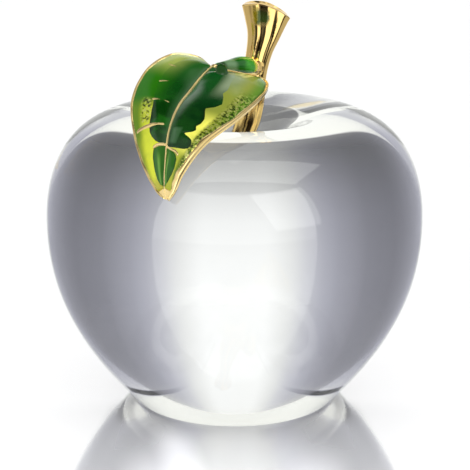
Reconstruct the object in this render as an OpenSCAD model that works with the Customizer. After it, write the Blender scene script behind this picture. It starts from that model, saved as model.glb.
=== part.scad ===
// Glass apple paperweight with a gilt cast stem and an enamelled leaf.
// Millimetres, Z up, origin at the centre of the flat foot on the table.
// The leaf hangs over the front, which faces -Y.

/* [Glass apple] */
// Widest diameter of the glass body
glass_d = 80; // [60:1:120]
// Height of the glass body at the crest of the shoulders
glass_h = 62.4; // [45:0.2:95]
// Height of the widest girth above the table
girth_h = 39.8; // [28:0.2:60]
// Diameter of the flat ground foot
foot_d = 43.6; // [30:0.2:64]
// Angle of the wall above the table where it leaves the foot
foot_angle = 47; // [35:0.1:65]
// Bevel on the edge of the foot
foot_bevel = 0.5; // [0.2:0.1:1.5]
// Diameter of the crest ring that surrounds the dimple
crest_d = 43.2; // [30:0.2:64]
// Depth of the dimple below the crest
dimple_depth = 10; // [6:0.2:16]

/* [Stem] */
// Height of the stem above the crest of the glass
stem_rise = 23.2; // [16:0.2:34]
// Diameter of the shaft of the stem
stem_d = 5.2; // [4:0.1:8]
// Width of the flared top of the stem
flare_w = 10.3; // [7:0.1:16]
// How far the top of the stem leans to the right
stem_lean = 6.5; // [2:0.1:12]
// Slope of the cut across the top of the stem
cut_angle = 15; // [0:1:30]
// Crown of the cut end of the stem
cut_crown = 1.6; // [0:0.1:3]
// Depth of the lengthwise flutes in the stem
flute_depth = 0.5; // [0.1:0.05:1]
// Diameter of the round peg under the stem
peg_d = 4.4; // [3:0.1:7]
// Length of the peg inside the glass
peg_len = 8; // [5:0.5:14]
// Thickness of the clear adhesive around the peg
glue_gap = 0.3; // [0.1:0.05:0.8]

/* [Leaf] */
// Length of the leaf in plan from the stem to the tip
leaf_len = 38.8; // [28:0.2:56]
// Width of the leaf across its lobes
leaf_w = 23; // [16:0.2:34]
// Thickness of the leaf casting
leaf_t = 1.3; // [1.1:0.1:2.5]
// Height of the leaf stalk joint above the crest of the glass
joint_rise = 9.8; // [7:0.2:14]
// Clear distance outwards from the glass to the leaf tip
tip_gap = 3.2; // [1.5:0.1:6]
// Diameter of the leaf stalk where it meets the stem
stalk_d = 3.9; // [2.8:0.1:5]
// Thickness of the solder between the stem and the leaf stalk
solder_t = 0.25; // [0.1:0.05:0.6]
// Width of the raised rim round the leaf
rim_w = 1.1; // [0.7:0.1:2]
// Height of the rim crest above the pocket edge
rim_h = 0.28; // [0.1:0.02:0.6]
// Half width of the midrib
midrib_w = 0.45; // [0.3:0.05:0.9]
// Height of the midrib crest above the pocket edge
midrib_h = 0.45; // [0.1:0.05:0.9]
// Width of the side veins
vein_w = 0.4; // [0.3:0.05:1]
// Height of the side veins above the pocket edge
vein_h = 0.14; // [0.05:0.01:0.4]

/* [Enamel] */
// Depth of the pockets that hold the enamel
enamel_depth = 0.5; // [0.3:0.05:0.8]
// Rise of the enamel above the pocket edge
enamel_dome = 0.22; // [0.05:0.01:0.5]

/* [Hidden] */
$fn = 96;
glass_r = glass_d / 2;
crest_r = crest_d / 2;
foot_r = foot_d / 2;
peg_r = peg_d / 2;
stem_r = stem_d / 2;
stalk_r = stalk_d / 2;
bore_r = peg_r + glue_gap;
floor_z = glass_h - dimple_depth;
bore_bottom = floor_z - peg_len - glue_gap;
joint_z = glass_h + joint_rise;

gold = [0.86, 0.68, 0.30];
dark_green = [0.02, 0.28, 0.12];
leaf_green = [0.55, 0.72, 0.12];
drop_green = [0.05, 0.42, 0.12];

// Curve helpers

// Point on a cubic curve with end points a and d and handles b and c
function cubic(a, b, c, d, t) =
    pow(1 - t, 3) * a + 3 * t * pow(1 - t, 2) * b
    + 3 * t * t * (1 - t) * c + pow(t, 3) * d;

// Sampled cubic curve without its first point
function run(a, b, c, d, n) = [for (i = [1:n]) cubic(a, b, c, d, i / n)];

// Smooth curve through stations p, where u = 1 is the second station
function spline(p, u) =
    let (n = len(p) - 1,
         i = min(n - 1, floor(u)),
         t = u - i,
         b = p[i],
         c = p[i + 1],
         a = i > 0 ? p[i - 1] : 2 * b - c,
         d = i + 2 <= n ? p[i + 2] : 2 * c - b)
    0.5 * (2 * b + (c - a) * t + (2 * a - 5 * b + 4 * c - d) * t * t
           + (3 * b - a - 3 * c + d) * t * t * t);

function unit(v) = v / norm(v);
function bell(x, w) = exp(-x * x / (w * w));
function join(lists) = [for (l = lists) for (f = l) f];

// Glass body

// The handles set how full the belly and the shoulders are
belly = 0.525 * glass_r;
girth_low = 0.325 * girth_h;
girth_high = 0.618 * (glass_h - girth_h);
shoulder = 0.61 * (glass_r - crest_r);
land_r = bore_r + 1.1;
rise_dir = [cos(foot_angle), sin(foot_angle)];
heel = [foot_r, 0] + foot_bevel * rise_dir;

wall_low = run(heel,
               [foot_r, 0] + belly * rise_dir,
               [glass_r, girth_h - girth_low],
               [glass_r, girth_h], 26);
wall_high = run([glass_r, girth_h],
                [glass_r, girth_h + girth_high],
                [crest_r + shoulder, glass_h],
                [crest_r, glass_h], 22);
dimple = run([crest_r, glass_h],
             [crest_r / 2, glass_h],
             [land_r + 2.4, floor_z],
             [land_r, floor_z], 16);

module glass_apple() {
    color([0.93, 0.95, 0.98, 0.6])
        rotate_extrude()
            polygon(concat([[0, 0], [foot_r - foot_bevel, 0], heel],
                           wall_low, wall_high, dimple,
                           [[bore_r, floor_z],
                            [bore_r, bore_bottom],
                            [0, bore_bottom]]));
}

// Clear adhesive fills the bore round the peg and beads up on the dimple floor
bead_w = 0.9;
bead_h = 0.45;

module stem_adhesive() {
    color([0.9, 0.9, 0.86, 0.7])
        rotate_extrude()
            polygon([[0, bore_bottom],
                     [bore_r, bore_bottom],
                     [bore_r, floor_z],
                     [peg_r + bead_w, floor_z],
                     [peg_r + 0.45 * bead_w, floor_z + 0.25 * bead_h],
                     [peg_r + 0.15 * bead_w, floor_z + 0.6 * bead_h],
                     [peg_r, floor_z + bead_h],
                     [peg_r, bore_bottom + glue_gap],
                     [0, bore_bottom + glue_gap]]);
}

// Solids made of rings of points. Rings run up the body, and the points of
// a ring go round it to the left of someone who looks back down the body.

function spot(i, j, n) = i * n + j % n;
function patch(a, b, c, d) = [[a, b, c], [a, c, d]];
function flip(list) = [for (f = list) [f[2], f[1], f[0]]];
function caps(n, m) = [[for (j = [0:n - 1]) j],
                       [for (j = [n - 1:-1:0]) (m - 1) * n + j]];

module ring_body(rings) {
    n = len(rings[0]);
    m = len(rings);
    skin = join([for (i = [0:m - 2]) for (j = [0:n - 1])
        patch(spot(i, j, n), spot(i + 1, j, n),
              spot(i + 1, j + 1, n), spot(i, j + 1, n))]);
    polyhedron(points = join(rings), faces = concat(skin, caps(n, m)));
}

// Upright walls round the patches that are marked in hit
function walls(hit, n, m, low) = join([
    for (i = [0:m - 2]) for (j = [0:n - 1]) if (hit[i][j]) concat(
        hit[i][(j + n - 1) % n] ? [] :
            patch(spot(i, j, n), low + spot(i, j, n),
                  low + spot(i + 1, j, n), spot(i + 1, j, n)),
        hit[i][(j + 1) % n] ? [] :
            flip(patch(spot(i, j + 1, n), low + spot(i, j + 1, n),
                       low + spot(i + 1, j + 1, n), spot(i + 1, j + 1, n))),
        hit[i - 1][j] ? [] :
            flip(patch(spot(i, j, n), low + spot(i, j, n),
                       low + spot(i, j + 1, n), spot(i, j + 1, n))),
        hit[i + 1][j] ? [] :
            patch(spot(i + 1, j, n), low + spot(i + 1, j, n),
                  low + spot(i + 1, j + 1, n), spot(i + 1, j + 1, n)))]);

// Casting whose skin drops to the pocket floor wherever cell holds a colour
module casting(skin, base, cell) {
    n = len(skin[0]);
    m = len(skin);
    low = n * m;
    top = join([for (i = [0:m - 2]) for (j = [0:n - 1])
        let (z = cell[i][j] > 0 ? low : 0)
        patch(z + spot(i, j, n), z + spot(i + 1, j, n),
              z + spot(i + 1, j + 1, n), z + spot(i, j + 1, n))]);
    hit = [for (row = cell) [for (c = row) c > 0]];
    polyhedron(points = concat(join(skin), join(base)),
               faces = concat(top, flip(walls(hit, n, m, low)), caps(n, m)));
}

// Enamel of one colour, which fills its pocket and domes above the edge
module enamel(skin, base, out, cell, id) {
    n = len(skin[0]);
    m = len(skin);
    low = n * m;
    hit = [for (row = cell) [for (c = row) c == id]];
    glaze = [for (i = [0:m - 1]) [for (j = [0:n - 1])
        let (p = (j + n - 1) % n,
             inner = i > 0 && hit[i - 1][p] && hit[i - 1][j]
                     && hit[i][p] && hit[i][j])
        skin[i][j] + (inner ? enamel_dome : 0) * out[i][j]]];
    shell = join([for (i = [0:m - 2]) for (j = [0:n - 1]) if (hit[i][j])
        concat(patch(spot(i, j, n), spot(i + 1, j, n),
                     spot(i + 1, j + 1, n), spot(i, j + 1, n)),
               flip(patch(low + spot(i, j, n), low + spot(i + 1, j, n),
                          low + spot(i + 1, j + 1, n), low + spot(i, j + 1, n))))]);
    polyhedron(points = concat(join(glaze), join(base)),
               faces = concat(shell, walls(hit, n, m, low)));
}

// Stem

// Stations up the shaft: share of height, share of lean, width, depth
stem_path = [[0.00, 0.000, 0.83, 0.83],
             [0.10, 0.210, 0.96, 0.90],
             [0.22, 0.430, 1.04, 0.94],
             [0.37, 0.560, 1.04, 0.92],
             [0.52, 0.620, 1.02, 0.92],
             [0.67, 0.770, 1.08, 0.94],
             [0.80, 0.930, 1.36, 1.02],
             [0.90, 0.980, 1.68, 1.10],
             [1.00, 1.000, 2.00, 1.14]];
stem_foot = 1.2;
stem_sides = 40;
stem_rings = 26;
stem_base = floor_z + stem_foot;
stem_len = glass_h + stem_rise - 0.7 - stem_base;
flare = flare_w / (2 * stem_d);

// Flutes: direction round the stem with the front at -90, width, depth
flutes = [[-104, 12, 1.0], [-58, 11, 0.8], [8, 18, 0.4], [62, 14, 0.8],
          [112, 16, 0.6], [170, 18, 0.4], [-145, 12, 0.5]];
function turn(a) = a > 180 ? a - 360 : a < -180 ? a + 360 : a;
function cut_in(a, s) =
    flute_depth * min(1, 3 * s) * (0.35 + 0.65 * s)
    * max([for (f = flutes) f[2] * bell(turn(a - f[0] - 5 * (1 - s)), f[1])]);

function stem_ring(s, shrink, lift) =
    let (q = spline(stem_path, s * (len(stem_path) - 1)),
         wide = 1 + (flare - 1) * pow(s, 3),
         bend = pow(s, 4))
    [for (k = [0:stem_sides - 1])
        let (a = 360 * k / stem_sides,
             r = shrink * (stem_r - cut_in(a, s)),
             x = r * wide * q[2] * cos(a),
             y = r * q[3] * sin(a),
             cut = tan(cut_angle) * x + cut_crown * pow(2 * x / flare_w, 2))
        [stem_lean * q[1] + x, y, stem_base + stem_len * q[0] + lift - bend * cut]];

stem_skin = concat([stem_ring(0, 1, -0.7)],
                   [for (i = [0:stem_rings]) stem_ring(i / stem_rings, 1, 0)],
                   [stem_ring(1, 0.95, 0.2),
                    stem_ring(1, 0.86, 0.15),
                    stem_ring(1, 0.55, -0.2),
                    stem_ring(1, 0.22, -0.4)]);

// The stem axis at the height of the leaf stalk
joint_share = (joint_z - stem_base) / stem_len;
joint_x = stem_lean * lookup(joint_share, [for (q = stem_path) [q[0], q[1]]]);
leaf_angle = -114.8;
boss_reach = stem_r + 0.2;

// Places its children on the axis of the leaf joint, which becomes their Z
module on_joint() {
    translate([joint_x, 0, joint_z])
        rotate([0, 90, leaf_angle])
            children();
}

module stem() {
    color(gold) {
        translate([0, 0, bore_bottom + glue_gap])
            cylinder(h = peg_len + stem_foot, r = peg_r);
        ring_body(stem_skin);
        on_joint()
            translate([0, 0, 0.4 * boss_reach])
                cylinder(h = 0.6 * boss_reach, r1 = stalk_r + 0.8, r2 = stalk_r);
    }
}

module leaf_solder() {
    color([0.78, 0.66, 0.40])
        on_joint()
            translate([0, 0, boss_reach])
                cylinder(h = solder_t, r = stalk_r + 0.12);
}

// Leaf

// The leaf frame: along from the stalk joint to the tip, across to the
// right, and up. Each list gives the same stations from stalk to tip.
leaf_left = [[10.4, -4.2, 1.6], [8.8, -7.9, 3.0], [11.4, -12.4, 3.6],
             [16.2, -15.5, 1.4], [22.6, -15.8, -3.4], [28.6, -12.3, -8.9],
             [34.6, -6.8, -14.0], [38.0, -2.3, -17.1], [38.7, -0.5, -17.7]];
leaf_mid = [[10.8, -3.6, 1.6], [12.2, -4.0, 1.1], [14.4, -4.3, 0.2],
            [18.4, -4.7, -1.7], [24.8, -4.5, -4.0], [30.8, -3.4, -7.4],
            [35.4, -1.8, -12.0], [38.0, -0.7, -16.0], [38.8, 0.0, -17.8]];
leaf_right = [[10.4, -3.0, 1.4], [8.0, 0.4, 0.2], [3.6, 4.7, -1.3],
              [7.6, 7.2, -2.6], [20.0, 7.1, -5.3], [31.0, 4.7, -8.4],
              [36.6, 2.4, -13.1], [37.9, 1.3, -16.7], [38.7, 0.5, -17.8]];
// Stations of the stalk: along, across, up, share of the stalk radius
stalk_path = [[0.0, 0.0, 0.0, 1.00], [1.6, -0.2, 0.4, 1.00],
              [3.9, -0.6, 0.9, 0.93], [6.8, -1.5, 1.3, 0.60],
              [9.2, -2.6, 1.5, 0.36], [10.4, -3.4, 1.5, 0.33]];

// The tip comes down until it clears the shoulder of the glass
leaf_dir = [cos(leaf_angle), sin(leaf_angle), 0];
leaf_side = [-sin(leaf_angle), cos(leaf_angle), 0];
leaf_root = [joint_x, 0, joint_z] + (boss_reach + solder_t) * leaf_dir;
tip_r = norm([leaf_root[0], leaf_root[1]] + leaf_len * [leaf_dir[0], leaf_dir[1]]);
shoulder_high = [for (i = [len(wall_high) - 1:-1:0]) wall_high[i]];
leaf_drop = joint_z - lookup(min(tip_r - tip_gap, 0.95 * glass_r), shoulder_high);
leaf_size = [leaf_len / 38.8, leaf_w / 23, leaf_drop / 17.8];

function sized(p) = [p[0] * leaf_size[0], p[1] * leaf_size[1], p[2] * leaf_size[2]];
function in_leaf(p) =
    leaf_root + p[0] * leaf_dir + p[1] * leaf_side + p[2] * [0, 0, 1];

// Share of the half leaf that is dark enamel, at each station
dark_left = [0.50, 0.55, 0.60, 0.50, 0.56, 0.56, 0.60, 0.60, 0.60];
dark_right = [0.30, 0.35, 0.42, 0.50, 0.60, 0.66, 0.62, 0.60, 0.60];

// Bands of the leaf: first station, last station, rows, kinds left and right.
// Kind 0 is bare, 1 has both enamels, 2 is a vein, 3 is the rib above the
// tip drops, 4 has the drops and 5 has light enamel alone.
hv = vein_w * 3.1 / leaf_len;
bands = [[0.00, 0.90, 4, 0, 0],
         [0.90, 1.20, 1, 1, 0],
         [1.20, 2.55 - hv, 4, 1, 1],
         [2.55 - hv, 2.55 + hv, 2, 2, 1],
         [2.55 + hv, 3.30 - hv, 3, 1, 1],
         [3.30 - hv, 3.30 + hv, 2, 2, 1],
         [3.30 + hv, 4.00 - hv, 3, 1, 1],
         [4.00 - hv, 4.00 + hv, 2, 2, 1],
         [4.00 + hv, 4.85 - hv, 4, 1, 1],
         [4.85 - hv, 4.85 + hv, 2, 2, 2],
         [4.85 + hv, 5.36, 2, 1, 1],
         [5.36, 5.44, 1, 3, 3],
         [5.44, 6.80, 6, 4, 4],
         [6.80, 7.00, 1, 5, 5],
         [7.00, 8.00, 5, 0, 0]];
leaf_lines = concat([0], join([for (b = bands) [for (k = [1:b[2]])
    b[0] + (b[1] - b[0]) * k / b[2]]]));
leaf_kinds = join([for (b = bands) [for (k = [1:b[2]]) [b[3], b[4]]]]);

// A ring holds 25 points over the top from right to left and 9 underneath
mid_point = 12;
back_shares = [-0.96, -0.7, -0.4, -0.12, 0, 0.12, 0.4, 0.7, 0.96];

// Colour of the patch in column j of one half, counted from the rim inwards:
// columns 3 to 6 are light enamel and 7 to 10 are dark enamel
function half_colour(kind, j, light, dark, drop) =
    kind == 0 || j < 3 || j > 10 ? 0
    : kind == 2 ? (j == 3 ? light : j > 8 ? dark : 0)
    : j < 7 ? light
    : kind == 1 ? dark
    : kind == 4 ? drop : 0;
function leaf_colour(kinds, j) =
    j < mid_point ? half_colour(kinds[1], j, 4, 2, 6)
    : half_colour(kinds[0], 23 - j, 3, 1, 5);
// Upward direction square to one half of the leaf
function half_up(edge, u) =
    let (a = max(0, u - 0.05),
         b = min(8, u + 0.05),
         run_dir = sized(spline(edge, b) + spline(leaf_mid, b)
                         - spline(edge, a) - spline(leaf_mid, a)),
         n = unit(cross(run_dir, sized(spline(edge, u) - spline(leaf_mid, u)))))
    n[2] < 0 ? -n : n;

// Shares of the half width at which the lines of one half run
function half_lines(width, dark, u) =
    let (mid = min(0.3, midrib_w * (1 - u / 16) / width),
         rim = 1 - min(0.5, rim_w / width),
         edge = mid + (rim - mid) * spline(dark, u))
    [1, 1 - 0.12 * (1 - rim), 1 - 0.5 * (1 - rim), rim,
     rim + (edge - rim) * 0.25, rim + (edge - rim) * 0.5,
     rim + (edge - rim) * 0.75, edge,
     edge + (mid - edge) * 0.25, edge + (mid - edge) * 0.5,
     edge + (mid - edge) * 0.75, mid];

// Heights of those lines above the pocket edge
function half_heights(crest) =
    [-0.4 * leaf_t, 0.05, rim_h, 0, 0,
     crest, crest, crest, crest, 0, 0, 0];

// Ring of the leaf at station u: each entry is a point and its upward direction
function leaf_ring(u, vein_left, vein_right) =
    let (mid = spline(leaf_mid, u),
         right = sized(spline(leaf_right, u) - mid),
         left = sized(spline(leaf_left, u) - mid),
         up_right = half_up(leaf_right, u),
         up_left = half_up(leaf_left, u),
         up_mid = unit(up_right + up_left),
         rs = half_lines(norm(right), dark_right, u),
         ls = half_lines(norm(left), dark_left, u),
         rh = half_heights(vein_right),
         lh = half_heights(vein_left),
         list = concat(
             [for (j = [0:11]) [rs[j], rh[j]]],
             [[0, midrib_h * (1 - 0.75 * u / 8)]],
             [for (j = [11:-1:0]) [-ls[j], lh[j]]],
             [for (s = back_shares)
                 [s, -leaf_t * (abs(s) > 0.9 ? 0.8 : 1) - 0.35 * bell(s, 0.1)]]))
    [for (q = list)
        let (s = abs(q[0]),
             side = q[0] < 0 ? left : right,
             mix = min(1, 2.5 * s),
             up = unit((1 - mix) * up_mid + mix * (q[0] < 0 ? up_left : up_right)),
             swell = (q[0] < 0 ? 0.16 : 0.14) * norm(side) * 4 * s * (1 - s) * (1 - s / 2))
        [in_leaf(sized(mid) + side * s) + leaf_up(up) * (swell + q[1]), leaf_up(up)]];

function leaf_up(p) = p[0] * leaf_dir + p[1] * leaf_side + p[2] * [0, 0, 1];

function vein_row(i, k) =
    i > 0 && leaf_kinds[i - 1][k] == 2 && leaf_kinds[i][k] == 2 ? vein_h : 0;

// The stalk has as many points in a ring as the leaf. Its columns 1 to 17
// face up and forward, and their middle rows hold enamel.
stalk_lines = [0, 0.06, 0.12, 0.19, 0.27, 0.35, 0.43, 0.51, 0.59, 0.67, 0.75,
               0.84, 0.92, 1];
function stalk_turn(j, s) =
    let (half = 78 * (1 - 0.45 * bell(s - 0.12, 0.05) - 0.5 * bell(s - 0.75, 0.1)))
    j >= 1 && j <= 18 ? 67 + half * (j - 9.5) / 8.5
    : 67 + half + (360 - 2 * half) * ((j + 16) % 34) / 17;
function stalk_ring(s) =
    let (q = spline(stalk_path, s * (len(stalk_path) - 1)))
    [for (j = [0:33])
        let (a = stalk_turn(j, s), out = [0, cos(a), sin(a)])
        [in_leaf(sized(q) + stalk_r * q[3] * out), leaf_up(out)]];
stalk_cell = [for (i = [0:len(stalk_lines) - 1]) [for (j = [0:33])
    i >= 2 && i <= 9 && j >= 1 && j <= 17 ? 7 : 0]];

// The whole casting: stalk rings first, then the rings of the leaf
leaf_rings = concat([for (s = stalk_lines) stalk_ring(s)],
                    [for (i = [0:len(leaf_lines) - 1])
                        leaf_ring(leaf_lines[i], vein_row(i, 0), vein_row(i, 1))]);
leaf_cell = concat(stalk_cell,
                   [for (k = leaf_kinds) [for (j = [0:33]) leaf_colour(k, j)]]);
leaf_skin = [for (r = leaf_rings) [for (p = r) p[0]]];
leaf_out = [for (r = leaf_rings) [for (p = r) p[1]]];
leaf_base = [for (r = leaf_rings) [for (p = r) p[0] - enamel_depth * p[1]]];

module leaf_plate() {
    color(gold)
        casting(leaf_skin, leaf_base, leaf_cell);
}

module leaf_enamel(id, tone) {
    color(tone)
        enamel(leaf_skin, leaf_base, leaf_out, leaf_cell, id);
}

module enamel_dark_left() { leaf_enamel(1, dark_green); }
module enamel_dark_right() { leaf_enamel(2, dark_green); }
module enamel_light_left() { leaf_enamel(3, leaf_green); }
module enamel_light_right() { leaf_enamel(4, leaf_green); }
module enamel_tip_left() { leaf_enamel(5, drop_green); }
module enamel_tip_right() { leaf_enamel(6, drop_green); }
module enamel_stalk() { leaf_enamel(7, drop_green); }

glass_apple();
stem_adhesive();
stem();
leaf_solder();
leaf_plate();
enamel_dark_left();
enamel_dark_right();
enamel_light_left();
enamel_light_right();
enamel_tip_left();
enamel_tip_right();
enamel_stalk();
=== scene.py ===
import math

import bmesh
import bpy
import numpy as np
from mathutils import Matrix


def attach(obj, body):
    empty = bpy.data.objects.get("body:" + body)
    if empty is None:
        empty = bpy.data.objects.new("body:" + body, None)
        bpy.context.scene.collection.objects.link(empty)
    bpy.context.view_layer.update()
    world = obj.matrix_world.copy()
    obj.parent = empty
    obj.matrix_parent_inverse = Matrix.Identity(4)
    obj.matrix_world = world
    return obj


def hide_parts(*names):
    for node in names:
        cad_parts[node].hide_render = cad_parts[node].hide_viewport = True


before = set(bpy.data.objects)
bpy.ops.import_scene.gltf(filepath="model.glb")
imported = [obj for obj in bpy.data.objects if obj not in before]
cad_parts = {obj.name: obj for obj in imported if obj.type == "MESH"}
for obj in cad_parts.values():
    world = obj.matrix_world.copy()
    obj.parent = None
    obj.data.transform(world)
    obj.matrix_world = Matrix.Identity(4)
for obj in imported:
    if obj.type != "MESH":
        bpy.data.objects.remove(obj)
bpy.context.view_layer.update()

MM = 0.001
DEGREES = 180 / math.pi


# Helpers

def cubic(a, b, c, d, t):
    """Bezier curve from a to d with the handles b and c."""
    t = np.asarray(t, float)[:, None]
    a, b, c, d = (np.asarray(p, float) for p in (a, b, c, d))
    return (1 - t) ** 3 * a + 3 * t * (1 - t) ** 2 * b + 3 * t * t * (1 - t) * c + t ** 3 * d


def spline(points, u):
    """Smooth curve through stations; u counts stations."""
    p = np.asarray(points, float)
    u = np.atleast_1d(np.asarray(u, float))
    n = len(p) - 1
    i = np.clip(np.floor(u).astype(int), 0, n - 1)
    t = (u - i)[:, None]
    b, c = p[i], p[i + 1]
    a = np.where((i > 0)[:, None], p[np.maximum(i - 1, 0)], 2 * b - c)
    d = np.where((i + 2 <= n)[:, None], p[np.minimum(i + 2, n)], 2 * c - b)
    return 0.5 * (2 * b + (c - a) * t + (2 * a - 5 * b + 4 * c - d) * t * t
                  + (3 * b - a - 3 * c + d) * t ** 3)


def unit(v):
    v = np.asarray(v, float)
    return v / (np.linalg.norm(v, axis=-1, keepdims=True) + 1e-12)


def smoothstep(start, end, x):
    """0 at start, 1 at end and smooth between."""
    t = np.clip((x - start) / (end - start), 0, 1)
    return t * t * (3 - 2 * t)


def piece(name, node, data, material, sharp=50):
    """Makes a visible piece in place of a CAD node; edges that turn by more than sharp degrees stay hard.

    The data are points in millimetres, faces and, where the material reads them, leaf or stem coordinates.
    """
    verts, faces, *places = data
    mesh = bpy.data.meshes.new(name)
    mesh.from_pydata([tuple(float(c) * MM for c in v) for v in verts], [], faces)
    mesh.update()
    for place in places:
        layer = mesh.attributes.new("leaf_place", "FLOAT_VECTOR", "POINT")
        layer.data.foreach_set("vector", np.asarray(place, np.float32).ravel())
    obj = bpy.data.objects.new(name, mesh)
    bpy.context.scene.collection.objects.link(obj)
    bm = bmesh.new()
    bm.from_mesh(mesh)
    bmesh.ops.remove_doubles(bm, verts=bm.verts, dist=1e-7)
    bmesh.ops.recalc_face_normals(bm, faces=bm.faces)
    for f in bm.faces:
        f.smooth = True
    for e in bm.edges:
        if len(e.link_faces) == 2 and e.calc_face_angle(0) > math.radians(sharp):
            e.smooth = False
    bm.to_mesh(mesh)
    bm.free()
    mesh.materials.append(material)
    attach(obj, "root")
    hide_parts(node)


def ring_faces(rows, cols):
    """Quads between rings of points."""
    faces = []
    for i in range(rows - 1):
        for j in range(cols):
            k = (j + 1) % cols
            faces.append((i * cols + j, i * cols + k, (i + 1) * cols + k, (i + 1) * cols + j))
    return faces


def capped_faces(rows, cols):
    """Rings closed by one flat face at each end."""
    end = (rows - 1) * cols
    return ring_faces(rows, cols) + [tuple(range(cols))[::-1], tuple(range(end, end + cols))]


def fan_faces(rows, cols):
    """Rings closed by fans on two middle points, which follow the rings in the list of points."""
    middle, tail = rows * cols, (rows - 1) * cols
    faces = ring_faces(rows, cols)
    faces += [(middle, (j + 1) % cols, j) for j in range(cols)]
    faces += [(middle + 1, tail + j, tail + (j + 1) % cols) for j in range(cols)]
    return faces


def sheet_faces(n, m):
    """Closed sheet of two layers of n by m points."""
    at = lambda i, j, k=0: k * n * m + i * m + j
    faces = []
    for i in range(n - 1):
        for j in range(m - 1):
            faces.append((at(i, j), at(i + 1, j), at(i + 1, j + 1), at(i, j + 1)))
            faces.append((at(i, j, 1), at(i, j + 1, 1), at(i + 1, j + 1, 1), at(i + 1, j, 1)))
    for i in range(n - 1):
        faces.append((at(i, 0), at(i, 0, 1), at(i + 1, 0, 1), at(i + 1, 0)))
        faces.append((at(i, m - 1), at(i + 1, m - 1), at(i + 1, m - 1, 1), at(i, m - 1, 1)))
    for j in range(m - 1):
        faces.append((at(0, j), at(0, j + 1), at(0, j + 1, 1), at(0, j, 1)))
        faces.append((at(n - 1, j), at(n - 1, j, 1), at(n - 1, j + 1, 1), at(n - 1, j + 1)))
    return faces


def shifted(faces, base):
    return [tuple(base + k for k in face) for face in faces]


def lathe_rings(profile, sides):
    """Rings of points round the upright axis."""
    turns = np.linspace(0, 2 * math.pi, sides, endpoint=False)
    return [(r * math.cos(t), r * math.sin(t), z) for r, z in profile for t in turns]


def joint_rings(profile, sides):
    """Rings of points round the axis of the leaf's joint."""
    turns = np.linspace(0, 2 * math.pi, sides, endpoint=False)
    return [JOINT + z * LEAF_DIR + r * (np.cos(t) * LEAF_SIDE + np.sin(t) * UP)
            for r, z in profile for t in turns]


# Node helpers

class Graph:
    """Short notation for shader maths."""

    def __init__(self, tree):
        self.nodes, self.links = tree.nodes, tree.links

    def put(self, socket, value):
        if isinstance(value, bpy.types.NodeSocket):
            self.links.new(value, socket)
        elif isinstance(value, tuple) and len(value) == 3 and socket.type == "RGBA":
            socket.default_value = (*value, 1)
        else:
            socket.default_value = value

    def fill(self, node, **values):
        """Sets or links inputs of a node, whose names have _ for a space."""
        for name, value in values.items():
            self.put(node.inputs[name.replace("_", " ")], value)
        return node

    def new(self, kind, **values):
        return self.fill(self.nodes.new("ShaderNode" + kind), **values)

    def math(self, op, *args, clamp=False):
        node = self.new("Math")
        node.operation, node.use_clamp = op, clamp
        for k, arg in enumerate(args):
            self.put(node.inputs[k], arg)
        return node.outputs[0]

    def add(self, x, y):
        return self.math("ADD", x, y)

    def mul(self, first, *others):
        for other in others:
            first = self.math("MULTIPLY", first, other)
        return first

    def inverse(self, x):
        """1 minus x."""
        return self.math("SUBTRACT", 1.0, x)

    def split(self, vector):
        return self.new("SeparateXYZ", Vector=vector).outputs

    def bearing(self, x, y):
        """Angle from the front, right positive, in degrees."""
        return self.mul(self.math("ARCTAN2", x, self.mul(y, -1.0)), DEGREES)

    def step(self, lo, hi, x):
        """0 below lo, 1 above hi and smooth between; 1 below hi and 0 above lo when lo is the higher."""
        node = self.new("MapRange", Value=x, From_Min=min(lo, hi), From_Max=max(lo, hi))
        node.interpolation_type = "SMOOTHSTEP"
        if lo > hi:
            self.fill(node, To_Min=1, To_Max=0)
        return node.outputs["Result"]

    def span(self, x, lo, hi, soft):
        """1 between lo and hi, with soft edges."""
        return self.mul(self.step(lo - soft, lo + soft, x), self.step(hi + soft, hi - soft, x))

    def curve(self, x, points):
        """Piecewise linear function of x through (x, y) points, where y is a number or a colour."""
        lo, hi = points[0][0], points[-1][0]
        unit_x = self.math("DIVIDE", self.math("SUBTRACT", x, lo), hi - lo, clamp=True)
        node = self.new("ValToRGB", Fac=unit_x)
        ramp = node.color_ramp
        while len(ramp.elements) < len(points):
            ramp.elements.new(0.5)
        # The marks start together at the low end, so that they keep their order while they move
        for k in range(len(points)):
            ramp.elements[k].position = k * 1e-4
        for k in reversed(range(len(points))):
            ramp.elements[k].position = (points[k][0] - lo) / (hi - lo)
        for element, (_, y) in zip(ramp.elements, points):
            colour = y if isinstance(y, tuple) else (y, y, y)
            element.color = (*colour, 1)
        return node.outputs["Color"]

    def blend(self, mode, fac, x, y):
        node = self.new("Mix")
        node.data_type = "RGBA"
        node.blend_type = mode
        return self.fill(node, Factor=fac, A=x, B=y).outputs["Result"]

    def mix(self, fac, x, y):
        """x where fac is 0 and y where it is 1."""
        return self.blend("MIX", fac, x, y)

    def over(self, tone, colour, *masks):
        """Colour laid over tone where the masks, multiplied, are 1."""
        return self.mix(self.mul(*masks), tone, colour)

    def scale(self, colour, amount):
        return self.blend("MULTIPLY", 1.0, colour, amount)

    def plus(self, colour, amount):
        return self.blend("ADD", 1.0, colour, amount)


# Materials

def rgb(r, g, b):
    """Screen colour 0 to 255 as linear light."""
    linear = lambda c: (c / 255 / 12.92) if c <= 10 else ((c / 255 + 0.055) / 1.055) ** 2.4
    return (linear(r), linear(g), linear(b))


def material(name):
    mat = bpy.data.materials.new(name)
    mat.use_nodes = True
    g = Graph(mat.node_tree)
    return mat, g, mat.node_tree.nodes["Principled BSDF"]


def noise(g, vector, scale, detail=2.0, rough=0.5):
    return g.new("TexNoise", Vector=vector, Scale=scale, Detail=detail, Roughness=rough).outputs["Fac"]


def bump(g, b, height, strength, distance):
    node = g.new("Bump", Strength=strength, Distance=distance, Height=height)
    g.fill(b, Normal=node.outputs["Normal"])


def object_coords(g):
    return g.new("TexCoord").outputs["Object"]


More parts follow.
